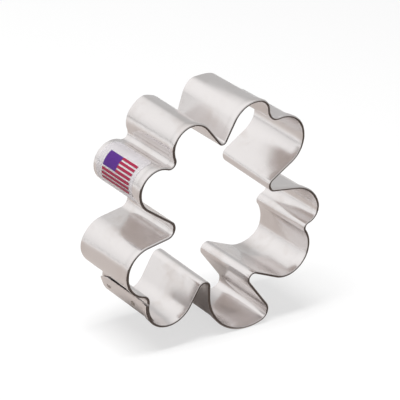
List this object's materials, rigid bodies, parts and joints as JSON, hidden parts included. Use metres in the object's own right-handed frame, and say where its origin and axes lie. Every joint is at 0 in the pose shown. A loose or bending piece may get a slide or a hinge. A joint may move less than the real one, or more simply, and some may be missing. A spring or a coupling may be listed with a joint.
{
  "type": "cookie cutter",
  "caption": "Clover-shaped cookie cutter of bent tinplate strip with a hemmed rim, a spot welded lap and a printed film label on one leaf.",
  "frame": {"origin": "middle of the outline's bounding box, on the plane of the cutting edge", "axes": "the cutter lies as in use: +Z from the cutting edge to the hemmed rim, +Y from the stem towards the two upper leaves, +X to the right when seen from the rim"},
  "size_m": [0.0762, 0.0814, 0.0254],
  "materials": {
    "tinplate": "satin tinplate",
    "weld_metal": "dull spot weld",
    "film": "semi-gloss film",
    "blue_ink": "printed ink",
    "red_ink": "printed ink"
  },
  "bodies": {
    "root": {"cutter_band": "tinplate", "spot_welds": "weld_metal", "label_film": "film", "label_blue_panel": "blue_ink", "label_red_stripes": "red_ink"}
  },
  "joints": []
}
